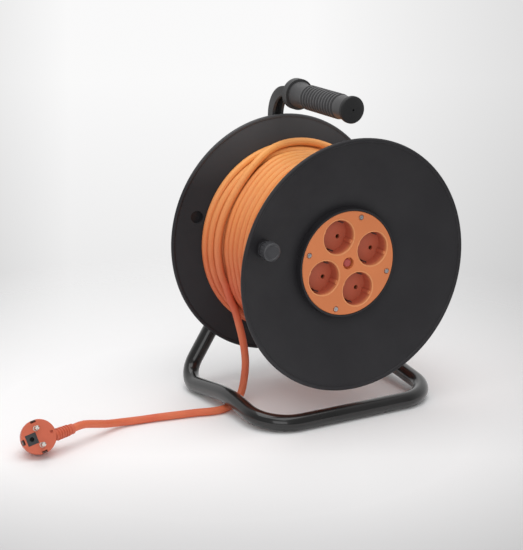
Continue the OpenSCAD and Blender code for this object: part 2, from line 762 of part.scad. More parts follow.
clip_w = 6;
clip_t = 0.8;
clip_len = 15;
key_w = 4;
module socket_insert(k) {
  color("#d4733c") on_axis() at_socket(SOCKETS[k]) difference() {
    union() {
      rotate_extrude($fn = 96) polygon([[0, insert_back], [insert_r - 0.6, insert_back],
        [insert_r, insert_back + 0.6], [insert_r, panel_back - 1.5 - fit_gap],
        [insert_lip_r, panel_back - 1.5 - fit_gap], [insert_lip_r, panel_back - fit_gap],
        [insert_r, panel_back - fit_gap], [insert_r, panel_face],
        [recess_d / 2 + 0.6, panel_face], [recess_d / 2, panel_face - 0.8],
        [recess_d / 2, recess_floor], [0, recess_floor]]);
      for (s = [-1, 1])
        intersection() {
          translate([s * (recess_d / 2 - 0.2) - 1.4, -key_w / 2, recess_floor - 1])
            cube([2.8, key_w, recess_depth - 1]);
          disc(insert_r - 0.2, 0, through);
        }
    }
    for (s = [-1, 1]) translate([s * pin_pitch / 2, 0, 0]) disc(pin_hole_d / 2, 0, through);
    for (s = [-1, 1])
      translate([-clip_w / 2 - slide_gap, s > 0 ? 16.2 : -16.2 - 2.6, 0]) cube([clip_w + 2 * slide_gap, 2.6, recess_floor + 1]);
  }
}
module socket_insert_1() socket_insert(0);
module socket_insert_2() socket_insert(1);
module socket_insert_3() socket_insert(2);
module socket_insert_4() socket_insert(3);

module panel_screws() {
  color("silver") on_axis() for (a = PANEL_SCREWS)
    polar(panel_screw_r, a) translate([0, 0, panel_face - 0.9]) rotate(30)
      screw(3.1, 1.6, 1.3, 14);
}

// Earth contacts: strips that stand at both ends of a recess, square to the pins
module earth_clips() {
  clip_foot = carrier_front + assembly_gap;
  color("silver") on_axis() for (a = SOCKETS) at_socket(a) for (s = [0, 1]) rotate(180 * s)
    translate([-clip_w / 2, 16.7, clip_foot - 0.3]) {
      cube([clip_w, clip_t, clip_len]);
      translate([0, -0.6, clip_len - 4]) cube([clip_w, 1, 2.5]);
    }
}

module contact_sleeves() {
  color("goldenrod") on_axis() for (a = SOCKETS) at_socket(a) for (s = [-1, 1])
    translate([s * pin_pitch / 2, 0, 0])
      tube(sleeve_r, sleeve_bore_r, carrier_front - sleeve_len, carrier_front);
}

module contact_carrier() {
  color("#d9d4c5") on_axis() difference() {
    disc(carrier_r, carrier_back, carrier_front);
    for (a = SOCKETS) at_socket(a) for (s = [-1, 1])
      translate([s * pin_pitch / 2, 0, 0]) disc(sleeve_r + fit_gap, carrier_front - sleeve_len, through);
    for (a = POSTS) polar(post_place_r, a) disc(2, 0, through);
    for (a = POSTS) polar(post_place_r, a) disc(4, 0, carrier_back + 3);
    translate([-cutout_w / 2 - fit_gap, -cutout_w / 2 - fit_gap, cutout_back])
      cube([cutout_w + 2 * fit_gap, cutout_w + 2 * fit_gap, 100]);
  }
}

module carrier_screws() {
  color("silver") on_axis() for (a = POSTS)
    polar(post_place_r, a) translate([0, 0, carrier_back + 3]) rotate([180, 0, 0])
      screw(3.2, 2, 1.2, carrier_t - 3 + 8);
}

module thermal_cutout() {
  color("#222222") on_axis() difference() {
    translate([-cutout_w / 2, -cutout_w / 2, cutout_back])
      cube([cutout_w, cutout_w, cutout_top - cutout_back]);
    disc(stem_r + slide_gap, cutout_top - 9, through);
  }
}

module reset_button() {
  color("#b8453c") on_axis() {
    rotate_extrude($fn = 64) polygon([[0, button_foot], [button_d / 2, button_foot],
      [button_d / 2, button_face - 0.8], [button_d / 2 - 0.8, button_face], [0, button_face]]);
    disc(button_flange_r, button_foot, button_foot + button_flange_t);
    disc(stem_r, cutout_top - 4, button_foot);
  }
}

module reset_spring() {
  steps = 10;
  rise = spring_len - spring_wire - 0.4;
  pts = [for (i = [0:steps * spring_turns]) let (a = 360 * i / steps)
    [spring_r * cos(a), spring_r * sin(a), cutout_top + 0.2 + spring_wire / 2 + rise * i / (steps * spring_turns)]];
  color("silver") on_axis() swept(pts, spring_wire / 2, 5);
}

// ---------- inner end of the cord ----------

block_len = 30;
block_w = 16;
block_t = 13;
clamp_at = 31;
clamp_l = 12;
clamp_w = 26;
module inlet() rotate(socket_angle + 180) children();

module terminal_block() {
  color("ivory") on_axis() inlet() difference() {
    translate([-block_len / 2, -block_w / 2, carrier_back - block_t]) cube([block_len, block_w, block_t]);
    for (i = [-1:1], s = [-1, 1])
      translate([s * 7.5, i * 5, carrier_back - block_t - 1]) cylinder(r = 1.7 + fit_gap, h = 8);
  }
}

module terminal_screws() {
  color("silver") on_axis() inlet() for (i = [-1:1], s = [-1, 1])
    translate([s * 7.5, i * 5, carrier_back - block_t]) cylinder(r = 1.7, h = 7);
}

module cable_clamp() {
  color("dimgrey") on_axis() inlet() difference() {
    translate([clamp_at - clamp_l / 2, -clamp_w / 2, carrier_back - block_t]) cube([clamp_l, clamp_w, block_t]);
    translate([0, 0, cord_port_z]) rotate([0, 90, 0]) cylinder(r = cord_r + fit_gap, h = 100);
    for (s = [-1, 1])
      translate([clamp_at, s * 9.2, carrier_back - block_t - 1]) cylinder(r = 1.6, h = block_t + 2);
  }
}

module clamp_screws() {
  color("silver") on_axis() inlet() for (s = [-1, 1])
    translate([clamp_at, s * 9.2, carrier_back - block_t]) rotate([180, 0, 0])
      screw(3, 2, 1.4, block_t - 0.3);
}

module cable_tail() {
  color("#e07a3c") on_axis() inlet() translate([block_len / 2 + fit_gap, 0, cord_port_z])
    rotate([0, 90, 0]) cylinder(r = cord_r, h = core_r - block_len / 2);
}

// ---------- winding ----------

// The turns under the outer layer, as one plain core shaped to carry it
module inner_winding() {
  inner_r = core_r + assembly_gap;
  clear = assembly_gap + 0.4;
  chord_dip = (saddle_r + 8) * (1 - cos(ring_angle / 2));
  carry = cord_r + 2 * assembly_gap + chord_dip;
  front_r = layer_r(drum_half) - carry;
  rear_r = layer_r(crowded_end) - carry;
  color("#d8703a") on_axis() {
    rotate_extrude($fn = 96) polygon([
      [inner_r, -drum_half + clear], [hub_r, -drum_half + clear],
      [rear_r, -flange_in(rear_r) + clear], [rear_r, crowded_end],
      [saddle_r - carry, saddle_z], [front_r, flange_in(front_r) - clear],
      [hub_r, drum_half - clear], [inner_r, drum_half - clear]]);
    riser();
  }
}

// Where the first turn comes up out of the layers below
riser_r = 40;
riser_turn = 60;
module riser() {
  tip = WOUND[0];
  back = unit([tip.x - WOUND[1].x, tip.y - WOUND[1].y, 0]);
  inward = unit([-tip.x, -tip.y, 0]);
  side = unit(inward - back * (inward * back));
  middle = tip + side * riser_r;
  translate(middle) rotate(atan2(-side.y, -side.x)) mirror([0, back * [side.y, -side.x, 0] > 0 ? 0 : 1, 0])
    rotate_extrude(angle = riser_turn, $fn = 64) translate([riser_r, 0]) circle(r = cord_r, $fn = 48);
}

module outer_winding() {
  color("#e8843f") on_axis() swept(WOUND, cord_r, 6);
}

module free_cable() {
  before_boot = boot_end - unit(boot_exit - boot_end) * straight_run;
  route = concat([for (p = LAST_TURN) placed(p)], FLOOR_RUN, [before_boot, boot_end]);
  color("#e8843f") swept(route, cord_r, 8);
}

// ---------- plug ----------

pin_root_r = plug_pin_d / 2 + 0.4;
pin_shoulder = 0.4;

// Plug frame: z out of the face towards the front left, x along the floor
module at_plug() translate(plug_at) rotate([0, 0, plug_yaw]) rotate([90 - plug_tilt, 0, 0]) children();
pin_tilt = 17;
LUGS = [90, 180, 270];

module plug_body() {
  r = plug_d / 2;
  color("#cf5c3f") difference() {
    union() {
      at_plug() rotate_extrude($fn = 96) polygon([[0, 0], [r - 0.8, 0], [r, -0.8], [r, -16],
        [r - 1, -20], [r - 4, -26], [r - 8, -30], [0, -plug_len]]);
      along(plug_neck, boot_exit) cylinder(r = boot_r + 1.6, h = norm(boot_exit - plug_neck) - 0.5);
    }
    at_plug() rotate(pin_tilt) {
      for (s = [-1, 1]) translate([0, s * pin_pitch / 2, -12]) cylinder(r = pin_root_r + fit_gap, h = 20);
      translate([-14.1, -6.1, -14]) cube([12.2, 12.2, 20]);
      for (a = LUGS) rotate(a) translate([plug_d / 2 - 3, -3, -12]) cube([3, 6, 20]);
      translate([13, -1.5, -2]) cube([3, 3, 4]);
    }
    along(boot_exit, boot_end) translate([0, 0, -0.5]) cylinder(r = boot_r + 1, h = 40);
  }
}

module plug_pins() {
  color("silver") at_plug() rotate(pin_tilt) for (s = [-1, 1])
    translate([0, s * pin_pitch / 2, 0]) {
      disc(pin_root_r, -10, pin_shoulder);
      disc(plug_pin_d / 2, 0, plug_pin_len - 1.5);
      translate([0, 0, plug_pin_len - 1.5]) cylinder(r1 = plug_pin_d / 2, r2 = 1.3, h = 1.5);
    }
}

module plug_earth_socket() {
  color("#2a2c2c") at_plug() rotate(pin_tilt) difference() {
    translate([-14, -6, -13.5]) cube([12, 12, 13.5]);
    translate([-8, 0, -12]) cylinder(r = 2.5, h = 20);
  }
}

module plug_earth_clips() {
  color("silver") at_plug() rotate(pin_tilt) for (a = LUGS)
    rotate(a) translate([plug_d / 2 - 1.8, -2.5, -11.5]) cube([1.2, 5, 11.5]);
}

boot_ribs = 5;
module plug_boot() {
  len_boot = norm(boot_end - boot_exit);
  rib_pitch = 3.6;
  color("#d8623f") along(boot_exit, boot_end) difference() {
    union() {
      cylinder(r1 = boot_r, r2 = boot_r - 0.9, h = len_boot - 4);
      translate([0, 0, len_boot - 4.5]) cylinder(r = 5.8, h = 4.5);
      for (k = [0:boot_ribs - 1])
        translate([0, 0, 4 + k * rib_pitch]) cylinder(r = boot_r + 0.6 - 0.1 * k, h = rib_pitch * 0.55);
    }
    translate([0, 0, -1]) cylinder(r = 2, h = 4);
  }
}

stand_frame();
hub_bracket();
bracket_screws();
handle_arm();
arm_screws();
grip_spindle();
grip_sleeve();
grip_screw();
axle();
axle_nut();
axle_washer();
thrust_washer();
axle_end_washer();
retaining_clip();
free_cable();
plug_boot();
plug_body();
plug_pins();
plug_earth_clips();
plug_earth_socket();
rear_flange();
front_flange();
drum_core();
tie_screws();
hub_bush_rear();
hub_bush_inner();
crank_pin();
socket_panel();
socket_insert_1();
socket_insert_2();
socket_insert_3();
socket_insert_4();
panel_screws();
earth_clips();
contact_sleeves();
contact_carrier();
carrier_screws();
thermal_cutout();
reset_spring();
terminal_block();
terminal_screws();
cable_clamp();
clamp_screws();
cable_tail();
inner_winding();
outer_winding();
crank_knob();
reset_button();
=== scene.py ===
"""Extension cord reel: an open drum of orange cord on a bent tube stand.

Lengths are written in millimetres, as in the part's source, and become metres when a piece is finished.
The camera, the studio and the places in a material are in metres.
The drum's own frame has z to the front, x to the right and y up, with its origin on the axis.
"""

from math import atan2, ceil, cos, degrees, floor, hypot, pi, radians, sin, tan

import bmesh
import bpy
from mathutils import Matrix, Vector


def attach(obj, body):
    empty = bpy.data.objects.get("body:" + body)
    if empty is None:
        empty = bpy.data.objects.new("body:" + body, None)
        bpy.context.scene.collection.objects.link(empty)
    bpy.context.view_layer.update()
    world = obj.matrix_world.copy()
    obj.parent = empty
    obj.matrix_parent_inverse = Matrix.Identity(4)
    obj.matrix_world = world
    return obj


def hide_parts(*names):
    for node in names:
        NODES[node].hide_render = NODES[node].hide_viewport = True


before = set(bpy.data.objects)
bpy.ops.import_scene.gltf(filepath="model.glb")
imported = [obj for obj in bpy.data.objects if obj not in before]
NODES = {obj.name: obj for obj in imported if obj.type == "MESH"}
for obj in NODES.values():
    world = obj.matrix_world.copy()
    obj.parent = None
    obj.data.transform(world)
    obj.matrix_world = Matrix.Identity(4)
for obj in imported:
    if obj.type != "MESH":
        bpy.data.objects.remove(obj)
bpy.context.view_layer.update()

# ---------- sizes, in millimetres ----------

MM = 0.001

# The drum: its middle along the axle, the height of the axle, and half its width at the core
DRUM_Y = -16.25
AXIS_Z = 181.0
DRUM_HALF = 61.0
CORE_R = 60.0
FLANGE_HUB_R = 64.0
FLANGE_SLOPE = tan(radians(16))

# The mouths of the sockets, in the face of their panel
PANEL_FACE = 71.2
MOUTH_Y = DRUM_Y - PANEL_FACE

CORD_R = 4.5
TUBE_R = 9.5

# The grip: its height over the axle, and its ends before and behind the drum's middle
GRIP_Z = 174.7
GRIP_D = 27.0
GRIP_FRONT_Y = 75.5
COLLAR_Y = 39.5

ON_AXIS = Matrix.Translation((0, DRUM_Y, AXIS_Z)) @ Matrix.Rotation(pi / 2, 4, "X")
TO_METRES = Matrix.Diagonal((MM, MM, MM, 1))

# ---------- shader nodes ----------

# The numbers of a Mix node's sockets for colours
MIX_SHARE, MIX_FIRST, MIX_SECOND, MIX_RESULT = 0, 6, 7, 2


class Value:
    """A number socket that takes part in Python arithmetic."""

    def __init__(self, shading, socket):
        self.shading = shading
        self.socket = socket

    def join(self, operation, other, swapped=False):
        first, second = (other, self) if swapped else (self, other)
        return self.shading.maths(operation, first, second)

    def __add__(self, other):
        return self.join("ADD", other)

    def __radd__(self, other):
        return self.join("ADD", other, True)

    def __sub__(self, other):
        return self.join("SUBTRACT", other)

    def __rsub__(self, other):
        return self.join("SUBTRACT", other, True)

    def __mul__(self, other):
        return self.join("MULTIPLY", other)

    def __rmul__(self, other):
        return self.join("MULTIPLY", other, True)


class Shading:
    """A node tree under construction."""

    def __init__(self, tree):
        self.tree = tree

    def node(self, kind, settings=None, inputs=None):
        """A new node, with its settings made first and then its sockets fed, by name or by number."""
        made = self.tree.nodes.new(kind)
        for key, value in (settings or {}).items():
            setattr(made, key, value)
        for key, value in (inputs or {}).items():
            self.feed(made.inputs[key], value)
        return made

    def feed(self, socket, value):
        """Links a value or a socket to a socket, or sets the socket to a plain number or colour."""
        if isinstance(value, Value):
            self.tree.links.new(value.socket, socket)
        elif isinstance(value, bpy.types.NodeSocket):
            self.tree.links.new(value, socket)
        else:
            socket.default_value = value

    def maths(self, operation, *values):
        """The result of one Math node."""
        made = self.node("ShaderNodeMath", {"operation": operation}, dict(enumerate(values)))
        return Value(self, made.outputs[0])

    def span(self, value, taken, given=(0.0, 1.0)):
        """Carries a value from the range taken over to the range given, and keeps it in there."""
        made = self.node(
            "ShaderNodeMapRange",
            inputs={
                "Value": value,
                "From Min": taken[0],
                "From Max": taken[1],
                "To Min": given[0],
                "To Max": given[1],
            },
        )
        return Value(self, made.outputs["Result"])

    def along(self, vector, direction):
        """The part of a vector socket that lies along a direction."""
        made = self.node("ShaderNodeVectorMath", {"operation": "DOT_PRODUCT"}, {0: vector, 1: direction})
        return Value(self, made.outputs["Value"])

    def blend(self, share, first, second):
        """A colour between the first and the second."""
        made = self.node(
            "ShaderNodeMix", {"data_type": "RGBA"}, {MIX_SHARE: share, MIX_FIRST: first, MIX_SECOND: second}
        )
        return made.outputs[MIX_RESULT]


class Finish(Shading):
    """A material under construction, for one of the reel's finishes."""

    def __init__(self, name, roughness=0.5, metallic=0.0, specular=0.5, coat=0.0, coat_roughness=0.1):
        self.material = bpy.data.materials.new(name)
        self.material.use_nodes = True
        super().__init__(self.material.node_tree)
        self.shader = self.tree.nodes["Principled BSDF"]
        self.shader.inputs["Roughness"].default_value = roughness
        self.shader.inputs["Metallic"].default_value = metallic
        self.shader.inputs["Specular IOR Level"].default_value = specular
        self.shader.inputs["Coat Weight"].default_value = coat
        self.shader.inputs["Coat Roughness"].default_value = coat_roughness
        self.where = self.node("ShaderNodeTexCoord").outputs["Object"]

    def noise(self, scale, detail=2.0, roughness=0.5):
        """Noise from 0 to 1; scale is per metre."""
        made = self.node(
            "ShaderNodeTexNoise",
            inputs={"Vector": self.where, "Scale": scale, "Detail": detail, "Roughness": roughness},
        )
        return Value(self, made.outputs["Fac"])

    def across(self, direction):
        """How far along a direction a place in the material lies, in metres."""
        return self.along(self.where, direction)

    def bump(self, height, depth):
        """A height from 0 to 1 as relief, depth in millimetres."""
        made = self.node("ShaderNodeBump", inputs={"Height": height, "Distance": depth * MM})
        self.feed(self.shader.inputs["Normal"], made.outputs["Normal"])

    def dress(self, color, roughness=None):
        """The colour over the surface, and the roughness where it varies."""
        self.feed(self.shader.inputs["Base Color"], color)
        if roughness is not None:
            self.feed(self.shader.inputs["Roughness"], roughness)


# ---------- finishes ----------

TO_BACK = (0, 1, 0)
UPWARDS = (0, 0, 1)

# The height over which the cord turns paler, as painted light that lightens its upper turns, and the height
# over which the rear flange turns paler, as a painted highlight on its upper part
CORD_LIT_HEIGHTS = (0.14, 0.29)
FLANGE_HIGHLIGHT_HEIGHTS = (0.25, 0.33)

# How far into a recess the painted shade reaches, from the pale mouth to the darker floor
RECESS_SHADE_DEPTH = 7.0

# Ridges round the cord's sheath, and their turn along it in radians per metre
SHEATH_RIDGES = 9
SHEATH_TWIST = 14


def grained(name, color, worn, roughness, grain=900.0, depth=0.06, specular=0.5):
    """Moulded plastic with a fine spark-eroded grain and a faint uneven sheen."""
    finish = Finish(name, roughness=roughness, specular=specular)
    patches = finish.span(finish.noise(14, detail=3), (0.35, 0.7))
    sheen = finish.span(finish.noise(45, detail=3), (0.3, 0.7), (roughness - 0.06, roughness + 0.07))
    finish.dress(finish.blend(patches, (*color, 1), (*worn, 1)), sheen)
    finish.bump(finish.noise(grain, detail=3, roughness=0.6), depth)
    return finish.material


def metal(name, color, roughness):
    """Plated metal with fine wipe marks."""
    finish = Finish(name, roughness=roughness, metallic=1.0)
    marks = finish.noise(260, detail=4, roughness=0.65)
    dull = tuple(0.8 * c for c in color)
    sheen = finish.span(marks, (0.3, 0.75), (roughness - 0.05, roughness + 0.12))
    finish.dress(finish.blend(finish.span(marks, (0.4, 0.75)), (*color, 1), (*dull, 1)), sheen)
    finish.bump(marks, 0.02)
    return finish.material


def cord_rubber(name, low, high):
    """Orange rubber sheath: faint ridges along the cord, a soft bloom and small scuffs.

    The colour goes from low at the floor to high at the top of the drum: painted light, paler and yellower on
    top and darker and redder lower down.
    """
    finish = Finish(name, roughness=0.5, specular=0.35)
    lay = finish.node("ShaderNodeAttribute", {"attribute_name": "lay"}).outputs["Vector"]
    side, up, run = (finish.along(lay, axis) for axis in ((1, 0, 0), (0, 1, 0), (0, 0, 1)))
    around = finish.maths("ARCTAN2", up, side)
    ridges = finish.maths("SINE", around * SHEATH_RIDGES + run * SHEATH_TWIST)
    bloom = finish.span(finish.noise(26, detail=4), (0.35, 0.72))
    scuffs = finish.span(finish.noise(380, detail=3), (0.6, 0.75))
    # painted light: the cord's colour turns paler and yellower with height, standing in for the light from
    # above
    lit_by_height = finish.blend(finish.span(finish.across(UPWARDS), CORD_LIT_HEIGHTS), (*low, 1), (*high, 1))
    worn = finish.blend(bloom * 0.35, lit_by_height, (0.8, 0.32, 0.14, 1))
    sheen = finish.span(bloom, (0.0, 1.0), (0.42, 0.56))
    finish.dress(finish.blend(scuffs * 0.3, worn, (0.5, 0.1, 0.03, 1)), sheen)
    finish.bump(ridges * 0.5 + finish.noise(700) * 0.5, 0.12)
    return finish.material


def gloss_paint():
    """Black enamel on tube: a smooth gloss that dust and handling have dulled in places."""
    finish = Finish("gloss_paint", roughness=0.32, specular=0.3, coat=0.8, coat_roughness=0.04)
    dust = finish.span(finish.noise(22, detail=3), (0.4, 0.75))
    sheen = finish.span(finish.noise(16), (0.3, 0.7), (0.26, 0.36))
    finish.dress(finish.blend(dust, (0.008, 0.008, 0.008, 1), (0.014, 0.0135, 0.0135, 1)), sheen)
    return finish.material


def flange_painted_highlight():
    """The flange plastic behind the cord, with a painted highlight that makes its upper part paler in uneven
    patches.
    """
    finish = Finish("flange_painted_highlight", roughness=0.55, specular=0.4)
    patches = finish.span(finish.noise(9, detail=3), (0.25, 0.7), (0.6, 1.0))
    # painted highlight: the upper part of the rear flange is made paler in patches, standing in for light on
    # it
    painted_highlight = finish.span(finish.across(UPWARDS), FLANGE_HIGHLIGHT_HEIGHTS) * patches
    sheen = finish.span(finish.noise(45, detail=3), (0.3, 0.7), (0.49, 0.62))
    finish.dress(finish.blend(painted_highlight, (0.0195, 0.0185, 0.0215, 1), (0.09, 0.09, 0.094, 1)), sheen)
    finish.bump(finish.noise(1100, detail=3, roughness=0.6), 0.05)
    return finish.material


def socket_painted_shade():
    """The panel's plastic inside a recess, with painted shade: pale at the mouth, where the walls catch the
    light, and darker and redder towards the floor, in the shade of the recess.
    """
    finish = Finish("socket_painted_shade", roughness=0.5, specular=0.4)
    # painted shade: the recess plastic darkens from its mouth to its floor
    recess_shade = finish.span(finish.across(TO_BACK), (MOUTH_Y * MM, (MOUTH_Y + RECESS_SHADE_DEPTH) * MM))
    finish.dress(finish.blend(recess_shade, (0.80, 0.32, 0.13, 1), (0.55, 0.138, 0.076, 1)))
    finish.bump(finish.noise(1200, detail=3, roughness=0.6), 0.05)
    return finish.material


def panel_moulding(name, color, worn, roughness):
    """The orange plastic of the socket panel and of the plug."""
    return grained(name, color, worn, roughness, grain=1200, depth=0.05, specular=0.4)


FINISHES = dict(
    # The two colours of each cord are its painted light: low for the shaded cord near the floor, high for the
    # lit turns on top
    cord_wound=cord_rubber("cord_wound", (0.66, 0.132, 0.054), (0.94, 0.415, 0.115)),
    cord_loose=cord_rubber("cord_loose", (0.66, 0.13, 0.062), (0.93, 0.41, 0.115)),
    gloss_paint=gloss_paint(),
    socket_painted_shade=socket_painted_shade(),
    flange_painted_highlight=flange_painted_highlight(),
    flange_plastic=grained(
        "flange_plastic",
        (0.0195, 0.0185, 0.0215),
        (0.025, 0.024, 0.027),
        0.55,
        grain=1100,
        depth=0.05,
        specular=0.4,
    ),
    bracket_nylon=grained("bracket_nylon", (0.042, 0.042, 0.043), (0.058, 0.058, 0.059), 0.45),
    grip_plastic=grained(
        "grip_plastic", (0.066, 0.065, 0.067), (0.084, 0.083, 0.086), 0.42, grain=1300, depth=0.05
    ),
    cap_plastic=grained(
        "cap_plastic", (0.014, 0.014, 0.015), (0.02, 0.02, 0.021), 0.5, grain=1300, depth=0.03
    ),
    knob_plastic=grained(
        "knob_plastic", (0.05, 0.05, 0.055), (0.066, 0.066, 0.071), 0.36, grain=1300, depth=0.04
    ),
    panel_plastic=panel_moulding("panel_plastic", (0.72, 0.225, 0.08), (0.67, 0.205, 0.072), 0.5),
    plug_plastic=panel_moulding("plug_plastic", (0.62, 0.135, 0.07), (0.56, 0.115, 0.058), 0.48),
    plug_dark=grained("plug_dark", (0.03, 0.032, 0.034), (0.05, 0.05, 0.052), 0.5),
    button_red=grained("button_red", (0.47, 0.085, 0.072), (0.42, 0.07, 0.06), 0.45),
    acetal=grained("acetal", (0.72, 0.68, 0.58), (0.66, 0.61, 0.5), 0.4),
    carrier_beige=grained("carrier_beige", (0.6, 0.55, 0.44), (0.54, 0.49, 0.38), 0.55),
    bright_zinc=metal("bright_zinc", (0.82, 0.82, 0.84), 0.3),
    zinc=metal("zinc", (0.38, 0.38, 0.39), 0.38),
    nickel=metal("nickel", (0.72, 0.68, 0.63), 0.25),
    spring_steel=metal("spring_steel", (0.3, 0.3, 0.31), 0.35),
    # painted shade: the clips' steel is darkened and browned to look as it does in the shade of the sockets
    # and the plug
    clip_steel_painted_shade=metal("clip_steel_painted_shade", (0.15, 0.11, 0.10), 0.45),
    # painted shade: the grip's screw is dark so that the small hole over it in the cap reads as shade
    dark_steel_painted_shade=metal("dark_steel_painted_shade", (0.05, 0.05, 0.052), 0.45),
    brass=metal("brass", (0.8, 0.58, 0.26), 0.28),
)

# ---------- making meshes ----------

# The rounded end of a cord: each ring's reach past the end and its radius, in radii of the cord
DOME = [(0.5, 0.55), (0.38, 0.8), (0.1, 0.95)]


def places_along(points):
    """A matrix at each point of a route, its z along the route, turned as little as possible."""
    last = len(points) - 1
    made = []
    side = None
    for i, point in enumerate(points):
        ahead = (points[min(i + 1, last)] - points[max(i - 1, 0)]).normalized()
        if side is None:
            side = Vector((1, 0, 0)) if abs(ahead.z) > 0.9 else Vector((0, 0, 1))
        side = (side - ahead * side.dot(ahead)).normalized()
        turn = Matrix((side, ahead.cross(side), ahead)).transposed().to_4x4()
        made.append(Matrix.Translation(point) @ turn)
    return made


def dome(place, radius, sign):
    """The rings that round off a cord's start (sign -1) or its end (sign 1), smallest first."""
    return [
        (place @ Matrix.Translation((0, 0, sign * radius * reach)), radius * share) for reach, share in DOME
    ]


def sweep(points, radius, sides, domed=False):
    """A closed tube along points; its lay attribute holds the direction round it and the run in metres."""
    places = places_along([Vector(p) for p in points])
    rings = [(place, radius) for place in places]
    if domed:
        rings = dome(places[0], radius, -1) + rings + dome(places[-1], radius, 1)[::-1]
    bm = bmesh.new()
    lay = bm.verts.layers.float_vector.new("lay")
    ring = bmesh.ops.create_circle(bm, cap_ends=True, segments=sides, radius=1.0)["verts"]
    edges = list(bm.edges)
    start_cap = list(bm.faces)
    run = 0.0
    place, size = rings[0]
    for v in ring:
        v[lay] = (v.co.x, v.co.y, 0)
        v.co = place @ (v.co * size)
    bmesh.ops.reverse_faces(bm, faces=start_cap)
    for new_place, new_size in rings[1:]:
        run += (new_place.translation - place.translation).length * MM
        grown = bmesh.ops.extrude_edge_only(bm, edges=edges)["geom"]
        ring = [g for g in grown if isinstance(g, bmesh.types.BMVert)]
        edges = [g for g in grown if isinstance(g, bmesh.types.BMEdge)]
        change = (
            new_place
            @ Matrix.Scale(new_size, 4)
            @ Matrix.Scale(1 / size, 4)
            @ place.inverted()
        )
        bmesh.ops.transform(bm, matrix=change, verts=ring)
        back = new_place.inverted()
        for v in ring:
            flat = back @ v.co
            v[lay] = (flat.x / new_size, flat.y / new_size, run)
        place, size = new_place, new_size
    bmesh.ops.edgeloop_fill(bm, edges=edges)
    return bm


def lathe(profile, steps):
    """A closed profile of (radius, z) points, spun round z."""
    bm = bmesh.new()
    verts = [bm.verts.new((r, 0, z)) for r, z in profile]
    edges = [bm.edges.new(pair) for pair in zip(verts, verts[1:] + verts[:1])]
    bmesh.ops.spin(
        bm,
        geom=verts + edges,
        cent=(0, 0, 0),
        axis=(0, 0, 1),
        angle=2 * pi,
        steps=steps,
        use_merge=True,
    )
    bmesh.ops.remove_doubles(bm, verts=bm.verts, dist=1e-4)
    return bm


def piece(name, bm, body, finish, replaced, place=None, sharp=35):
    """Makes the object from a mesh in millimetres, ties it to its body and hides the nodes it replaces.

    Edges that turn by more than sharp, in degrees, stay crisp.
    """
    if place is not None:
        bmesh.ops.transform(bm, matrix=place, verts=bm.verts)
    bmesh.ops.recalc_face_normals(bm, faces=bm.faces)
    bmesh.ops.transform(bm, matrix=TO_METRES, verts=bm.verts)
    mesh = bpy.data.meshes.new(name)
    bm.to_mesh(mesh)
    bm.free()
    mesh.shade_smooth()
    mesh.set_sharp_from_angle(angle=radians(sharp))
    mesh.materials.append(FINISHES[finish])
    made = bpy.data.objects.new(name, mesh)
    bpy.context.collection.objects.link(made)
    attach(made, body)
    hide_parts(*replaced)
    return made


def repaint(node, finish):
    """A new finish on a CAD node whose shape is right."""
    target = NODES[node]
    for place in target.material_slots:
        place.material = FINISHES[finish]
    if not target.material_slots:
        target.data.materials.append(FINISHES[finish])


# ---------- wound cord ----------

# The last full layer: its turns, their rear end and step on the open left side, and the same over the top,
# where they crowd together
LAYER_TURNS = 14
LAYER_END = -64.1
TURN_STEP = 9.62
CROWDED_END = -65.2
CROWDED_STEP = 9.46

# The knee in the layer's outline, from which it rises to the rear flange and falls gently to the front one
KNEE_Z = -50.0
KNEE_R = 92.5
REAR_RISE = 0.32
FRONT_FALL = 0.09

# Where the three turns over the layer lie, as (z, radius), on the left and over the top
UPPER_LEFT = [(-68.8, 108.5), (-59.4, 105.8), (-49.6, 102.5)]
UPPER_TOP = [(-68.4, 110.0), (-58.2, 105.5), (-61.5, 115.3)]

# The same from the left over the far side to the top, as (angle, z) and (angle, radius)
FAR_Z = [
    [(-145, -64.1), (-100, -65.4), (-55, -66.8), (-10, -67.6), (35, -68.2), (70, -68.4)],
    [(-145, -68.8), (-100, -66), (-55, -62.3), (-10, -59.5), (35, -58), (70, -58.2)],
    [(-145, -59.4), (-100, -56.5), (-55, -52.2), (-10, -50.2), (35, -55), (70, -60.5), (90, -61.5)],
]
FAR_R = [
    [(-145, 97), (-100, 98.5), (-55, 102), (-10, 105), (35, 108), (70, 110)],
    [(-145, 108.5), (-100, 109), (-55, 111), (-10, 111), (35, 107.5), (70, 105.5)],
    [(-145, 105.8), (-100, 106.5), (-55, 112), (-10, 117.5), (35, 118.4), (70, 116.6), (90, 115.3)],
]

# Between these angles a turn keeps its place, on the left and over the top
LEFT_FROM, LEFT_TO, TOP_FROM, TOP_TO = 170, 215, 70, 110

# A turn is counted from where it leaves the left
TURN_FROM = LEFT_TO - 360

# The angles over which the last turn crosses the others and drops beside them
LAST_CROSSING = (80, 124)
LAST_DROP = (98, 146)

# How far the last full layer rides up over the ends of the turns below it, by angle, the part of the
# drum's width over which that sets in from the rear, and the turns that it lifts
SWELL = [
    (-145, 5.5), (-130, 9), (-100, 10.5), (-20, 11), (70, 11.5), (105, 11), (115, 8.5), (135, 3),
    (160, 0), (195, 0), (215, 5.5),
]
SWOLLEN_Z = (-56.0, -47.5)
SWOLLEN_TURNS = LAYER_TURNS - 1

# The angles at which the outer turns start and end, and at which the free cord leaves the drum
WIND_START = 60
WIND_END = 315 + 360 * (LAYER_TURNS + 1)
LEAVE_ANGLE = 205 + 360 * (LAYER_TURNS + 2)
CORD_STEP = 15

# The outer turns come up out of the layers below over their first part, by angle
START_DEPTH, START_RISE = 11.5, 50


def ease(u):
    """A smooth step from 0 to 1."""
    v = min(1.0, max(0.0, u))
    return v * v * (3 - 2 * v)


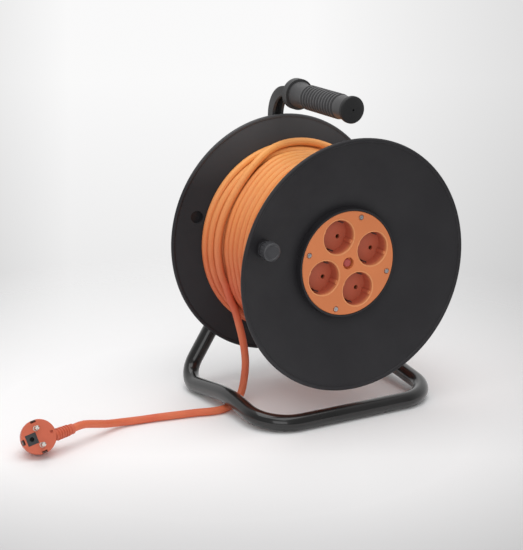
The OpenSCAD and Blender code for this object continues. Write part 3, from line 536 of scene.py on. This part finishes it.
def lookup(at, table):
    """Straight-line reading of a table of (place, value)."""
    if at <= table[0][0]:
        return table[0][1]
    for (a, low), (b, high) in zip(table, table[1:]):
        if at <= b:
            return low + (high - low) * (at - a) / (b - a)
    return table[-1][1]


def swell(z, angle):
    """The rise of the layer at a place, which fades out towards the last turns."""
    low, high = SWOLLEN_Z
    return lookup(angle, SWELL) * ease((z - low) / (high - low))


def layer_r(z):
    """The radius of the last full layer, without its swell."""
    return KNEE_R + REAR_RISE * (KNEE_Z - z) if z < KNEE_Z else KNEE_R - FRONT_FALL * (z - KNEE_Z)


def left_of(k):
    """Where turn k lies on the open left side, as (z, radius)."""
    if k >= LAYER_TURNS:
        return Vector(UPPER_LEFT[k - LAYER_TURNS])
    z = LAYER_END + TURN_STEP * (LAYER_TURNS - 1 - k)
    return Vector((z, layer_r(z)))


def top_of(k):
    """Where turn k lies over the top, as (z, radius)."""
    if k >= LAYER_TURNS:
        return Vector(UPPER_TOP[k - LAYER_TURNS])
    z = CROWDED_END + CROWDED_STEP * (LAYER_TURNS - 1 - k)
    return Vector((z, layer_r(z)))


def over(k, u):
    """Turn k on its way from the top to the left."""
    return top_of(k).lerp(left_of(k), ease(u))


def last_over(a):
    """The last turn, which crosses the others first and then drops beside them."""
    top, left = top_of(LAYER_TURNS + 2), left_of(LAYER_TURNS + 2)
    crossed, dropped = (ease((a - low) / (high - low)) for low, high in (LAST_CROSSING, LAST_DROP))
    return Vector((top.x + (left.x - top.x) * crossed, top.y + (left.y - top.y) * dropped))


def far(k, a):
    """Turn k on its way from the left over the far side to the top."""
    if k >= LAYER_TURNS:
        return Vector((lookup(a, FAR_Z[k - LAYER_TURNS]), lookup(a, FAR_R[k - LAYER_TURNS])))
    u = (a + 360 - LEFT_TO) / (TOP_FROM + 360 - LEFT_TO)
    return left_of(k - 1) + (top_of(k) - left_of(k - 1)) * ease(u)


def wound(angle):
    """(z, radius) of the cord at an angle, counted from the first turn."""
    k = floor((angle + 360 - LEFT_TO) / 360)
    a = angle - 360 * k
    if k == LAYER_TURNS + 2 and LAST_CROSSING[0] <= a < LEFT_FROM:
        return last_over(a)
    if a < TOP_FROM:
        return far(k, a)
    if a < TOP_TO:
        return top_of(k) if k < LAYER_TURNS else far(k, a)
    if a < LEFT_FROM:
        return over(k, (a - TOP_TO) / (LEFT_FROM - TOP_TO))
    return left_of(k)


def on_drum(angle):
    """The middle of the cord at an angle, in the drum's own frame."""
    z, r = wound(angle)
    if angle < 360 * SWOLLEN_TURNS:
        r += swell(z, (angle - TURN_FROM) % 360 + TURN_FROM)
    r -= START_DEPTH * (1 - ease((angle - WIND_START) / START_RISE))
    return Vector((r * cos(radians(angle)), r * sin(radians(angle)), z))


def smooth_route(points, passes=2):
    """Catmull-Rom: one more point between each pair, in each pass."""
    for _ in range(passes):
        last = len(points) - 1
        made = []
        for i in range(last):
            a, b, c, d = (points[max(0, min(last, i + j))] for j in (-1, 0, 1, 2))
            made += [b, (b + c) * (9 / 16) - (a + d) * (1 / 16)]
        points = made + [points[last]]
    return points


# ---------- free cord ----------


def floor_point(x, y, z):
    """A place whose y is counted from the drum's middle and whose z is counted from the floor."""
    return Vector((x, y + DRUM_Y, z))


# From the drum down behind the left rail, under it, and over the floor towards the plug
FLOOR_RUN = [
    (-92.7, 49.6, 137.8), (-87, 49, 120), (-81.5, 47, 105.5), (-78, 43, 87), (-75.8, 37, 66),
    (-75.5, 33, 43), (-80.5, 29, 20.4), (-88, 24, 7.5), (-100, 14, 4.5), (-119, 3, 4.5),
    (-134, 2, 4.5), (-151, 6.5, 4.5), (-168, 10, 4.5), (-185, 13, 4.5), (-202, 16, 4.5),
    (-219, 18, 4.5), (-242, 18.5, 6), (-266, 11, 11),
]

# Where the boot leaves the plug, where the cord enters the boot, and the cord's straight run before it
BOOT_EXIT = floor_point(-338.2, -15.6, 20.5)
BOOT_END = floor_point(-313, -6.7, 20.4)
BOOT_RUN = 18


def route_length(points):
    """The length along a route."""
    return sum((b - a).length for a, b in zip(points, points[1:]))


def winding():
    """The turns on the drum, and the free cord after them with its route."""
    turns = smooth_route([on_drum(a) for a in range(WIND_START, WIND_END + 1, CORD_STEP)])
    outer = sweep([ON_AXIS @ p for p in turns], CORD_R, sides=14, domed=True)
    piece("winding_outer", outer, "drum", "cord_wound", ["outer_winding"], sharp=60)

    into_boot = (BOOT_EXIT - BOOT_END).normalized()
    route = [ON_AXIS @ on_drum(a) for a in range(WIND_END, LEAVE_ANGLE, CORD_STEP)]
    route += [floor_point(*p) for p in FLOOR_RUN] + [BOOT_END - into_boot * BOOT_RUN, BOOT_END]
    route = smooth_route(route)
    free = sweep(route, CORD_R, sides=18, domed=True)
    cord = piece("cord_free", free, "stand", "cord_loose", ["free_cable"], sharp=60)
    return cord, route


cord_free, cord_route = winding()
tuple(cord_route[0] * MM)
route_length(cord_route) * MM
[tuple(p * MM) for p in cord_route]

# ---------- layers below the outer turns ----------

# From the middle of an outer turn down to the core of the winding
LAYER_DEPTH = CORD_R + 1.4
WINDING_GAP = 0.7
CORE_GAP = 0.3
CURVE_STEPS = 12


def winding_profile():
    """(radius, z) round the inner layers, which fill the room between the flanges, and their front radius."""
    rear_z, front_z = WINDING_GAP - DRUM_HALF, DRUM_HALF - WINDING_GAP
    rear_r, front_r = layer_r(CROWDED_END) - LAYER_DEPTH, layer_r(DRUM_HALF) - LAYER_DEPTH
    profile = [(CORE_R + CORE_GAP, front_z), (CORE_R + CORE_GAP, rear_z), (FLANGE_HUB_R, rear_z)]
    profile += [(rear_r, rear_z - (rear_r - FLANGE_HUB_R) * FLANGE_SLOPE), (rear_r, CROWDED_END)]
    for k in range(CURVE_STEPS):
        z = KNEE_Z + (DRUM_HALF - KNEE_Z) * k / CURVE_STEPS
        profile.append((layer_r(z) - LAYER_DEPTH, z))
    profile += [(front_r, front_z + (front_r - FLANGE_HUB_R) * FLANGE_SLOPE), (FLANGE_HUB_R, front_z)]
    return profile, front_r


def layers_below():
    """The layers under the outer turns, as a core that swells with them."""
    profile, front_r = winding_profile()
    bm = lathe(profile, steps=120)
    for v in bm.verts:
        radius = hypot(v.co.x, v.co.y)
        angle = degrees(atan2(v.co.y, v.co.x))
        angle += 360 if angle < TURN_FROM else 0
        share = (radius - FLANGE_HUB_R) / (front_r - FLANGE_HUB_R)
        grown = radius + swell(v.co.z, angle) * min(1.0, max(0.0, share))
        if v.co.z > DRUM_HALF:
            v.co.z += (grown - radius) * FLANGE_SLOPE
        v.co.x *= grown / radius
        v.co.y *= grown / radius
    piece("winding_core", bm, "drum", "cord_wound", ["inner_winding"], ON_AXIS)


layers_below()

# ---------- stand ----------

# The front corners, the rails' apex and the heels: how far to each side of the drum's middle,
# and how far before or behind it
STAND_FRONT_X, STAND_APEX_X, STAND_REAR_X = 113.0, 114.0, 121.0
FRONT_BAR_Y, RAIL_APEX_Y, UPRIGHT_Y = 86.6, 5.0, 108.0

# The height of the rails' middle where they pass over the cord, and how far below the resting tube
# their straight parts meet the uprights
RAIL_LIFT = 2 * CORD_R + TUBE_R + 0.4
HEEL_DIP = 3.4
FRONT_BEND_R, APEX_BEND_R, HEEL_BEND_R = 44.0, 200.0, 28.0

# The uprights lean towards the axle and end this far short of it, inside the hub bracket
UPRIGHT_TOP_X = 9.5
UPRIGHT_GAP = 35.0


def bent(points, radii, step=3.0):
    """The route through the points, with an arc of its radius at each inner corner."""
    made = [points[0]]
    for before, corner, after, radius in zip(points, points[1:], points[2:], radii):
        into, away = (corner - before).normalized(), (after - corner).normalized()
        turn = into.angle(away)
        inward = (away - into * away.dot(into)).normalized()
        middle = corner - into * radius * tan(turn / 2) + inward * radius
        count = ceil(degrees(turn) / step)
        for i in range(count + 1):
            a = turn * i / count
            made.append(middle - inward * radius * cos(a) + into * radius * sin(a))
    return made + [points[-1]]


def stand():
    """The bent tube: front bar, two rails that lift over the cord, two uprights."""
    heel_z = TUBE_R - HEEL_DIP
    front_slope = atan2(RAIL_LIFT - TUBE_R, RAIL_APEX_Y + FRONT_BAR_Y)
    rear_slope = atan2(RAIL_LIFT - heel_z, UPRIGHT_Y - RAIL_APEX_Y)
    apex_z = RAIL_LIFT + APEX_BEND_R * (1 / cos((front_slope + rear_slope) / 2) - 1)
    sides = []
    for s in (-1, 1):
        heel = Vector((s * STAND_REAR_X, DRUM_Y + UPRIGHT_Y, heel_z))
        aim = Vector((s * UPRIGHT_TOP_X, DRUM_Y + UPRIGHT_Y, AXIS_Z))
        top = aim - (aim - heel).normalized() * UPRIGHT_GAP
        apex = Vector((s * STAND_APEX_X, DRUM_Y + RAIL_APEX_Y, apex_z))
        front = Vector((s * STAND_FRONT_X, DRUM_Y - FRONT_BAR_Y, TUBE_R))
        sides.append([top, heel, apex, front])
    radii = [HEEL_BEND_R, APEX_BEND_R, FRONT_BEND_R]
    tube = sweep(bent(sides[0] + sides[1][::-1], radii + radii[::-1]), TUBE_R, sides=40)
    piece("tube_stand", tube, "stand", "gloss_paint", ["stand_frame"], sharp=50)


stand()

# ---------- grip ----------

GRIP_LENGTH = GRIP_FRONT_Y + COLLAR_Y
GRIP_BARREL_R = GRIP_D / 2
GRIP_BORE_R = 6.15
GRIP_NECK_Z = GRIP_LENGTH - 6.6

# One rib: height over the barrel, and run along it
RIBS = 12
RIB_PITCH = 5.8
RIB = [(-1.3, 0.0), (0.7, 0.6), (0.9, 1.7), (0.7, 2.8), (-1.3, 3.4)]

# Behind the ribs and before them: height over the barrel, and z from the rear or the front end
REAR_COLLAR = [(1.5, 0.0), (1.5, 3.4), (0.0, 7.5)]
FRONT_TAPER = [(-0.4, -14), (-1.2, -9), (-1.2, -6.6)]

# The cap on the front end, with its pocket over the screw and a small hole: radius, and z from the front end
CAP = [
    (GRIP_BORE_R, -6.5), (GRIP_BORE_R, -5), (2.4, -5), (2.4, -2.4), (5.4, -2.4), (5.4, 0),
    (1.1, 0.2), (1.1, 0.9), (7, 0.75), (12.5, 0.2), (14.4, -0.4),
    (15.2, -1.4), (15.2, -4.4), (14.6, -5.2), (12.3, -5.6), (12.3, -6.5),
]


def grip():
    """The sleeve of the grip, with crisp ribs round a smooth barrel, and the dark cap on its front end."""
    start = (GRIP_LENGTH - RIBS * RIB_PITCH) / 2
    profile = [(GRIP_BORE_R, GRIP_NECK_Z), (GRIP_BORE_R, 0.0)]
    profile += [(GRIP_BARREL_R + up, z) for up, z in REAR_COLLAR]
    profile += [(GRIP_BARREL_R + up, start + k * RIB_PITCH + run) for k in range(RIBS) for up, run in RIB]
    profile.append((GRIP_BARREL_R, start + RIBS * RIB_PITCH))
    profile += [(GRIP_BARREL_R + up, GRIP_LENGTH + z) for up, z in FRONT_TAPER]
    place = Matrix.Translation((0, DRUM_Y + COLLAR_Y, AXIS_Z + GRIP_Z)) @ Matrix.Rotation(pi / 2, 4, "X")
    sleeve = lathe(profile, steps=96)
    piece("grip", sleeve, "stand", "grip_plastic", ["grip_sleeve"], place, sharp=24)

    cap = lathe([(r, GRIP_LENGTH + z) for r, z in CAP], steps=96)
    piece("grip_cap", cap, "stand", "cap_plastic", ["grip_sleeve"], place, sharp=30)


grip()

# ---------- finishes on the CAD nodes that keep their shape ----------

# Each finish with the nodes that it goes on
KEPT_NODES = {
    "bracket_nylon": ["hub_bracket", "handle_arm", "thermal_cutout", "cable_clamp"],
    "grip_plastic": ["grip_spindle"],
    "knob_plastic": ["crank_pin", "crank_knob"],
    "flange_painted_highlight": ["rear_flange"],
    "flange_plastic": ["front_flange", "drum_core"],
    "panel_plastic": ["socket_panel"],
    "socket_painted_shade": ["socket_insert_1", "socket_insert_2", "socket_insert_3", "socket_insert_4"],
    "button_red": ["reset_button"],
    "plug_plastic": ["plug_boot", "plug_body"],
    "plug_dark": ["plug_earth_socket"],
    "cord_loose": ["cable_tail"],
    "acetal": ["thrust_washer", "hub_bush_rear", "hub_bush_inner"],
    "carrier_beige": ["contact_carrier", "terminal_block"],
    "nickel": ["plug_pins"],
    "brass": ["contact_sleeves"],
    "clip_steel_painted_shade": ["plug_earth_clips", "earth_clips"],
    "spring_steel": ["retaining_clip", "reset_spring"],
    "dark_steel_painted_shade": ["grip_screw"],
    "bright_zinc": ["panel_screws"],
    "zinc": [
        "bracket_screws", "arm_screws", "axle", "axle_nut", "axle_washer", "axle_end_washer",
        "tie_screws", "carrier_screws", "terminal_screws", "clamp_screws",
    ],
}

for finish, nodes in KEPT_NODES.items():
    for node in nodes:
        repaint(node, finish)

# ---------- camera and studio, in metres ----------

VIEW_FROM = (-0.9193, -1.53325, 0.6649)
VIEW_TILT, VIEW_TURN = 73.786, -29.179
VIEW_LENS = 108.92

# Fixed directions in the studio: right, up and back as the main view has them, and front along the floor
STUDIO_RIGHT = (0.8731, -0.4875, 0.0)
STUDIO_UP = (0.1361, 0.2438, 0.9602)
STUDIO_BACK = (0.4681, 0.8384, -0.2792)
FLOOR_FRONT = (-0.4875, -0.8731, 0.0)

# The room's own light on the reel, and the tint of the backdrop
ROOM_LIGHT = 0.66
BACKDROP_TINT = (1, 0.997, 0.998, 1)

# The floor: its colour beside the reel, its painted shade far to the right and near the front, and how it
# fades out
FLOOR_R = 4.0
FLOOR_PALE = (0.93, 0.924, 0.926, 1)
FLOOR_SHADED_RIGHT = (0.68, 0.676, 0.68, 1)
FLOOR_SHADED_NEAR = (0.62, 0.617, 0.62, 1)
FLOOR_MIDDLE = (-0.12, -0.03, 0)
FLOOR_FADE = (0.28, 0.7)


def camera():
    """A long lens, before the left of the reel and above it."""
    data = bpy.data.cameras.new("view")
    data.sensor_fit = "HORIZONTAL"
    data.sensor_width = 36
    data.lens = VIEW_LENS
    data.clip_end = 50
    eye = bpy.data.objects.new("view", data)
    eye.location = VIEW_FROM
    eye.rotation_euler = (radians(VIEW_TILT), 0, radians(VIEW_TURN))
    bpy.context.collection.objects.link(eye)
    bpy.context.scene.camera = eye


def lamp(name, place, target, size, power):
    """A square soft box at place, turned to target."""
    data = bpy.data.lights.new(name, "AREA")
    data.shape = "SQUARE"
    data.size = size
    data.energy = power
    light = bpy.data.objects.new(name, data)
    light.location = place
    light.rotation_euler = (Vector(target) - Vector(place)).to_track_quat("-Z", "Y").to_euler()
    bpy.context.collection.objects.link(light)


def backdrop(shading, mirrored):
    """An even pale ground: brightest above the middle, duller below and to both sides.

    Gloss also shows the room opposite the backdrop, which is dimmer.
    """
    ray = shading.node("ShaderNodeTexCoord").outputs["Generated"]
    across = shading.along(ray, STUDIO_RIGHT)
    bright = shading.span(shading.along(ray, STUDIO_UP), (-0.17, 0.12), (0.66, 0.955))
    right_loss = shading.span(across, (0.03, 0.17), (0.0, 0.22))
    left_loss = shading.span(across, (-0.12, -0.17), (0.0, 0.13))
    opposite_loss = shading.span(shading.along(ray, STUDIO_BACK), (-0.4, 0.5), (0.65, 0.0))
    return (bright - right_loss - left_loss) * (1 - mirrored * opposite_loss)


def room():
    """The world: even light on the reel, and the backdrop where it is seen, mirrored or seen through."""
    world = bpy.data.worlds.new("studio")
    bpy.context.scene.world = world
    world.use_nodes = True
    shading = Shading(world.node_tree)
    rays = shading.node("ShaderNodeLightPath").outputs
    mirrored = Value(shading, rays["Is Glossy Ray"])
    direct = shading.maths("MAXIMUM", rays["Is Camera Ray"], rays["Is Transmission Ray"])
    seen = shading.maths("MAXIMUM", direct, mirrored)
    glow = world.node_tree.nodes["Background"]
    glow.inputs["Color"].default_value = (1, 1, 1, 1)
    glow.inputs["Strength"].default_value = ROOM_LIGHT
    shown = shading.node(
        "ShaderNodeBackground", inputs={"Color": BACKDROP_TINT, "Strength": backdrop(shading, mirrored)}
    )
    mix = shading.node("ShaderNodeMixShader", inputs={0: seen, 1: glow.outputs[0], 2: shown.outputs[0]})
    shading.feed(world.node_tree.nodes["World Output"].inputs["Surface"], mix.outputs[0])


def floor_finish():
    """A pale floor with painted shade that makes it duller to the right and in front, and clear away from the
    reel.
    """
    finish = Finish("floor", roughness=0.9, specular=0.1)
    # painted shade: the floor darkens to the right and towards the front
    side = finish.span(finish.across(STUDIO_RIGHT), (0.05, 0.45))
    near_shade = finish.span(finish.across(FLOOR_FRONT), (0.2, 0.45))
    finish.dress(finish.blend(near_shade, finish.blend(side, FLOOR_PALE, FLOOR_SHADED_RIGHT), FLOOR_SHADED_NEAR))
    away = finish.node(
        "ShaderNodeVectorMath", {"operation": "DISTANCE"}, {0: finish.where, 1: FLOOR_MIDDLE}
    )
    fade = finish.span(away.outputs["Value"], FLOOR_FADE)
    clear = finish.node("ShaderNodeBsdfTransparent")
    mixed = finish.node(
        "ShaderNodeMixShader", inputs={0: fade, 1: finish.shader.outputs[0], 2: clear.outputs[0]}
    )
    finish.feed(finish.tree.nodes["Material Output"].inputs["Surface"], mixed.outputs[0])
    return finish.material


def studio():
    """A pale floor that fades into an even background, and soft boxes."""
    room()
    bpy.ops.mesh.primitive_circle_add(vertices=96, radius=FLOOR_R, fill_type="NGON", location=(0, 0, 0))
    ground = bpy.context.object
    ground.name = "floor"
    ground.data.materials.append(floor_finish())
    lamp("overhead", place=(-0.15, -0.1, 2.0), target=(0, 0, 0.1), size=1.9, power=20)
    lamp("front", place=(-1.4, -2.3, 1.1), target=(0, 0, 0.15), size=1.6, power=12)


camera()
studio()

scene = bpy.context.scene
scene.view_settings.view_transform = "Standard"
